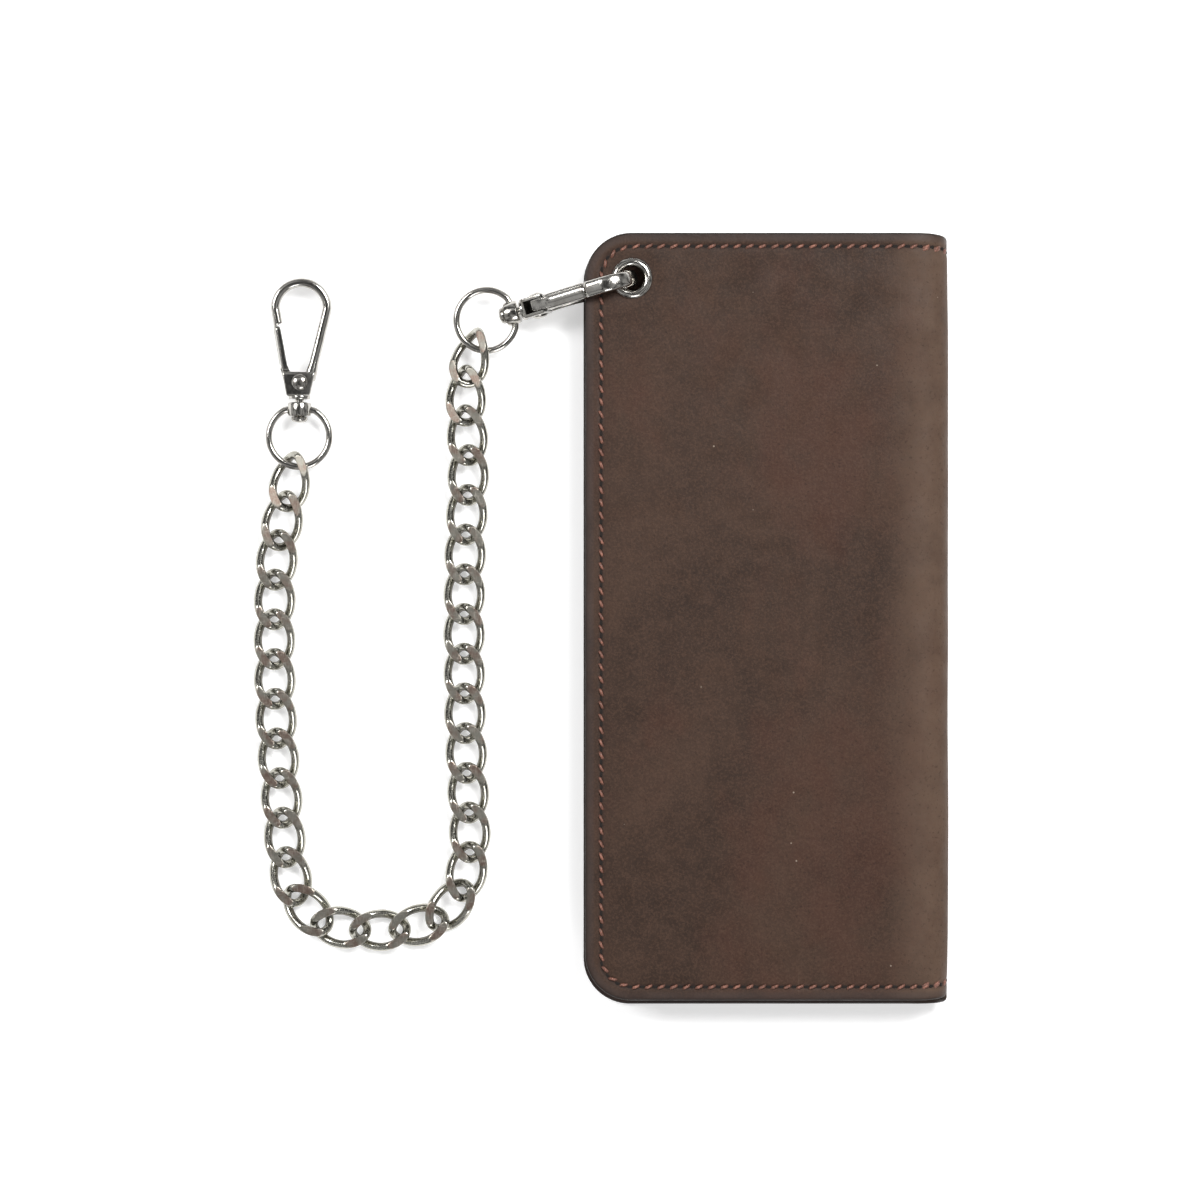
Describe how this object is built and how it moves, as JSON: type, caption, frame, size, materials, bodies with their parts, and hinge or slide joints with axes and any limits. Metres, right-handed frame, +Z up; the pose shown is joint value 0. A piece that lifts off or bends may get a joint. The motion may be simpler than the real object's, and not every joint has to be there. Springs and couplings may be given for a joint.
{
  "type": "chain wallet",
  "caption": "Long folded leather wallet with an eyelet in one corner and a curb chain that has a swivel snap hook and a ring at each end.",
  "frame": {"origin": "middle of the back cover, on its outer face, with the closed wallet lying on it", "axes": "+Z up out of the front cover, +Y along the fold towards the end with the eyelet, +X towards the fold; the chain lies on the -X side"},
  "size_m": [0.1721, 0.19, 0.0183],
  "materials": {
    "cover_leather": "matte waxed dark brown pull-up leather, worn lighter at the fold",
    "lining_leather": "matte dark brown",
    "pocket_leather": "matte dark brown",
    "coin_cloth": "thin woven lining cloth",
    "zip_tape": "black woven tape with a row of metal teeth",
    "nickel": "nickel plate, lightly worn",
    "aged_nickel": "aged nickel, ground faces scratched and tarnished",
    "spring_steel": "bare spring wire"
  },
  "bodies": {
    "back_half": {"back_cover": "cover_leather", "back_lining": "lining_leather", "card_pocket_1": "pocket_leather", "card_pocket_2": "pocket_leather", "card_pocket_3": "pocket_leather", "card_pocket_4": "pocket_leather"},
    "fold_strip": {"spine": "cover_leather"},
    "front_half": {"front_cover": "cover_leather", "front_lining": "lining_leather", "coin_pocket_back": "coin_cloth", "coin_pocket_face": "pocket_leather", "zip_side_left": "zip_tape", "zip_side_right": "zip_tape", "eyelet": "nickel", "eyelet_washer": "nickel"},
    "zip_slider": {"zip_slider": "nickel"},
    "zip_pull": {"zip_pull": "nickel"},
    "hook_a": {"hook_body_a": "nickel", "gate_rivet_a": "nickel"},
    "gate_a": {"gate_a": "nickel", "gate_spring_a": "spring_steel"},
    "swivel_a": {"swivel_a": "nickel"},
    "ring_a": {"ring_a": "nickel"},
    "link_01": {"link_01": "aged_nickel"},
    "link_02": {"link_02": "aged_nickel"},
    "link_03": {"link_03": "aged_nickel"},
    "link_04": {"link_04": "aged_nickel"},
    "link_05": {"link_05": "aged_nickel"},
    "link_06": {"link_06": "aged_nickel"},
    "link_07": {"link_07": "aged_nickel"},
    "link_08": {"link_08": "aged_nickel"},
    "link_09": {"link_09": "aged_nickel"},
    "link_10": {"link_10": "aged_nickel"},
    "link_11": {"link_11": "aged_nickel"},
    "link_12": {"link_12": "aged_nickel"},
    "link_13": {"link_13": "aged_nickel"},
    "link_14": {"link_14": "aged_nickel"},
    "link_15": {"link_15": "aged_nickel"},
    "link_16": {"link_16": "aged_nickel"},
    "link_17": {"link_17": "aged_nickel"},
    "link_18": {"link_18": "aged_nickel"},
    "link_19": {"link_19": "aged_nickel"},
    "link_20": {"link_20": "aged_nickel"},
    "link_21": {"link_21": "aged_nickel"},
    "link_22": {"link_22": "aged_nickel"},
    "link_23": {"link_23": "aged_nickel"},
    "link_24": {"link_24": "aged_nickel"},
    "link_25": {"link_25": "aged_nickel"},
    "link_26": {"link_26": "aged_nickel"},
    "link_27": {"link_27": "aged_nickel"},
    "link_28": {"link_28": "aged_nickel"},
    "link_29": {"link_29": "aged_nickel"},
    "link_30": {"link_30": "aged_nickel"},
    "ring_b": {"ring_b": "nickel"},
    "swivel_b": {"swivel_b": "nickel"},
    "hook_b": {"hook_body_b": "nickel", "gate_rivet_b": "nickel"},
    "gate_b": {"gate_b": "nickel", "gate_spring_b": "spring_steel"}
  },
  "joints": [
    {"name": "back_fold", "type": "hinge", "parent": "back_half", "child": "fold_strip", "pos_m": [0.0424, 0, 0.0026], "axis": [0, 1, 0], "range_deg": [0, 90]},
    {"name": "front_fold", "type": "hinge", "parent": "fold_strip", "child": "front_half", "pos_m": [0.0424, 0, 0.0104], "axis": [0, 1, 0], "range_deg": [0, 90]},
    {"name": "zip_slide", "type": "slide", "parent": "front_half", "child": "zip_slider", "axis": [0, -1, 0], "range_m": [0, 0.125]},
    {"name": "pull_swing", "type": "hinge", "parent": "zip_slider", "child": "zip_pull", "pos_m": [0.0214, 0.06004, 0.00673], "axis": [0, 0, 1], "range_deg": [-45, 45]},
    {"name": "hook_a_turn", "type": "hinge", "parent": "front_half", "child": "hook_a", "pos_m": [-0.033, 0.0838, 0.01167], "axis": [0, 0, 1], "range_deg": [-75, 5]},
    {"name": "gate_a_hinge", "type": "hinge", "parent": "hook_a", "child": "gate_a", "pos_m": [-0.0563, 0.07742, 0.00679], "axis": [-0.2639, 0.9646, 0], "range_deg": [0, 3], "stiffness_Nm_per_rad": 0.02, "springref_deg": -5.73},
    {"name": "swivel_a_turn", "type": "hinge", "parent": "hook_a", "child": "swivel_a", "pos_m": [-0.06263, 0.0757, 0.0054], "axis": [0.9435, 0.2581, 0.2079], "continuous": true},
    {"name": "ring_a_swing", "type": "hinge", "parent": "swivel_a", "child": "ring_a", "pos_m": [-0.06263, 0.0757, 0.0054], "axis": [-0.2639, 0.9646, 0], "range_deg": [-40, 40]},
    {"name": "link_01_lift", "type": "hinge", "parent": "ring_a", "child": "link_01", "pos_m": [-0.07193, 0.06701, 0.00408], "axis": [-0.8446, 0.2591, -0.4685], "range_deg": [-30, 30]},
    {"name": "link_02_sway", "type": "hinge", "parent": "link_01", "child": "link_02", "pos_m": [-0.07409, 0.06019, 0.0036], "axis": [-0.3829, 0.0129, 0.9237], "range_deg": [-30, 9]},
    {"name": "link_03_lift", "type": "hinge", "parent": "link_02", "child": "link_03", "pos_m": [-0.0743, 0.05038, 0.0031], "axis": [0.9742, 0.0182, 0.225], "range_deg": [-40, 40]},
    {"name": "link_04_sway", "type": "hinge", "parent": "link_03", "child": "link_04", "pos_m": [-0.07352, 0.04053, 0.0027], "axis": [0.1031, 0.0431, -0.9937], "range_deg": [-9, 30]},
    {"name": "link_05_lift", "type": "hinge", "parent": "link_04", "child": "link_05", "pos_m": [-0.07376, 0.03065, 0.00235], "axis": [-0.9989, 0.0386, -0.0262], "range_deg": [-40, 40]},
    {"name": "link_06_sway", "type": "hinge", "parent": "link_05", "child": "link_06", "pos_m": [-0.07427, 0.02079, 0.0021], "axis": [-0.0008, -0.0177, 0.9998], "range_deg": [-30, 12]},
    {"name": "link_07_lift", "type": "hinge", "parent": "link_06", "child": "link_07", "pos_m": [-0.07456, 0.01091, 0.002], "axis": [0.9998, -0.0209, 0], "range_deg": [-40, 40]},
    {"name": "link_08_sway", "type": "hinge", "parent": "link_07", "child": "link_08", "pos_m": [-0.07468, 0.00103, 0.002], "axis": [0, 0, -1], "range_deg": [-18, 21]},
    {"name": "link_09_lift", "type": "hinge", "parent": "link_08", "child": "link_09", "pos_m": [-0.07468, -0.00885, 0.002], "axis": [-1, -0.0054, 0], "range_deg": [-40, 40]},
    {"name": "link_10_sway", "type": "hinge", "parent": "link_09", "child": "link_10", "pos_m": [-0.07457, -0.01873, 0.002], "axis": [0, 0, 1], "range_deg": [-15, 27]},
    {"name": "link_11_lift", "type": "hinge", "parent": "link_10", "child": "link_11", "pos_m": [-0.07434, -0.02861, 0.002], "axis": [0.9996, 0.0295, 0], "range_deg": [-40, 40]},
    {"name": "link_12_sway", "type": "hinge", "parent": "link_11", "child": "link_12", "pos_m": [-0.07399, -0.03849, 0.002], "axis": [0, 0, -1], "range_deg": [-30, 12]},
    {"name": "link_13_lift", "type": "hinge", "parent": "link_12", "child": "link_13", "pos_m": [-0.07341, -0.04835, 0.002], "axis": [-0.9991, -0.0433, 0], "range_deg": [-40, 40]},
    {"name": "link_14_sway", "type": "hinge", "parent": "link_13", "child": "link_14", "pos_m": [-0.07313, -0.05822, 0.002], "axis": [0, 0, 1], "range_deg": [-9, 30]},
    {"name": "link_15_lift", "type": "hinge", "parent": "link_14", "child": "link_15", "pos_m": [-0.07502, -0.06788, 0.002], "axis": [0.9025, -0.4307, 0], "range_deg": [-36, 36]},
    {"name": "link_16_sway", "type": "hinge", "parent": "link_15", "child": "link_16", "pos_m": [-0.08118, -0.07522, 0.002], "axis": [0, 0, -1], "range_deg": [-30, 6]},
    {"name": "link_17_lift", "type": "hinge", "parent": "link_16", "child": "link_17", "pos_m": [-0.09072, -0.07754, 0.002], "axis": [-0.129, 0.9916, 0], "range_deg": [-40, 40]},
    {"name": "link_18_sway", "type": "hinge", "parent": "link_17", "child": "link_18", "pos_m": [-0.1006, -0.07774, 0.002], "axis": [0, 0, 1], "range_deg": [-6, 30]},
    {"name": "link_19_lift", "type": "hinge", "parent": "link_18", "child": "link_19", "pos_m": [-0.11031, -0.07606, 0.002], "axis": [-0.4789, -0.8779, 0], "range_deg": [-27, 27]},
    {"name": "link_20_sway", "type": "hinge", "parent": "link_19", "child": "link_20", "pos_m": [-0.11677, -0.06903, 0.002], "axis": [0, 0, -1], "range_deg": [-30, 6]},
    {"name": "link_21_lift", "type": "hinge", "parent": "link_20", "child": "link_21", "pos_m": [-0.11893, -0.05947, 0.002], "axis": [0.9887, 0.1497, 0], "range_deg": [-40, 40]},
    {"name": "link_22_sway", "type": "hinge", "parent": "link_21", "child": "link_22", "pos_m": [-0.11971, -0.04962, 0.002], "axis": [0, 0, 1], "range_deg": [-9, 30]},
    {"name": "link_23_lift", "type": "hinge", "parent": "link_22", "child": "link_23", "pos_m": [-0.12054, -0.03978, 0.002], "axis": [-0.9969, -0.0781, 0], "range_deg": [-40, 40]},
    {"name": "link_24_sway", "type": "hinge", "parent": "link_23", "child": "link_24", "pos_m": [-0.12125, -0.02992, 0.002], "axis": [0, 0, -1], "range_deg": [-30, 12]},
    {"name": "link_25_lift", "type": "hinge", "parent": "link_24", "child": "link_25", "pos_m": [-0.12168, -0.02005, 0.002], "axis": [0.9995, 0.0308, 0], "range_deg": [-40, 40]},
    {"name": "link_26_sway", "type": "hinge", "parent": "link_25", "child": "link_26", "pos_m": [-0.12186, -0.01017, 0.002], "axis": [0, 0, 1], "range_deg": [-15, 30]},
    {"name": "link_27_lift", "type": "hinge", "parent": "link_26", "child": "link_27", "pos_m": [-0.12187, -0.00029, 0.002], "axis": [-1, 0.0073, 0], "range_deg": [-40, 40]},
    {"name": "link_28_sway", "type": "hinge", "parent": "link_27", "child": "link_28", "pos_m": [-0.12171, 0.00959, 0.002], "axis": [0.0009, 0.0101, -0.9999], "range_deg": [-30, 24]},
    {"name": "link_29_lift", "type": "hinge", "parent": "link_28", "child": "link_29", "pos_m": [-0.1208, 0.01942, 0.0022], "axis": [0.9861, -0.1505, 0.0698], "range_deg": [-40, 40]},
    {"name": "link_30_sway", "type": "hinge", "parent": "link_29", "child": "link_30", "pos_m": [-0.11879, 0.02909, 0.0026], "axis": [-0.2043, -0.0046, 0.9789], "range_deg": [-30, 30]},
    {"name": "ring_b_lift", "type": "hinge", "parent": "link_30", "child": "ring_b", "pos_m": [-0.1171, 0.03776, 0.00305], "axis": [-0.9456, 0.1977, -0.2585], "range_deg": [-18, 25]},
    {"name": "swivel_b_swing", "type": "hinge", "parent": "ring_b", "child": "swivel_b", "pos_m": [-0.11554, 0.05185, 0.00343], "axis": [0.9998, -0.0175, 0], "range_deg": [-40, 40]},
    {"name": "hook_b_turn", "type": "hinge", "parent": "swivel_b", "child": "hook_b", "pos_m": [-0.11554, 0.05185, 0.00343], "axis": [0.0175, 0.9998, 0], "continuous": true},
    {"name": "gate_b_hinge", "type": "hinge", "parent": "hook_b", "child": "gate_b", "pos_m": [-0.11543, 0.05855, 0.00343], "axis": [0, 0, -1], "range_deg": [0, 18], "stiffness_Nm_per_rad": 0.02, "springref_deg": -5.73}
  ],
  "couplings": [
    {"joint": "front_fold", "follows": "back_fold", "ratio": 1}
  ]
}
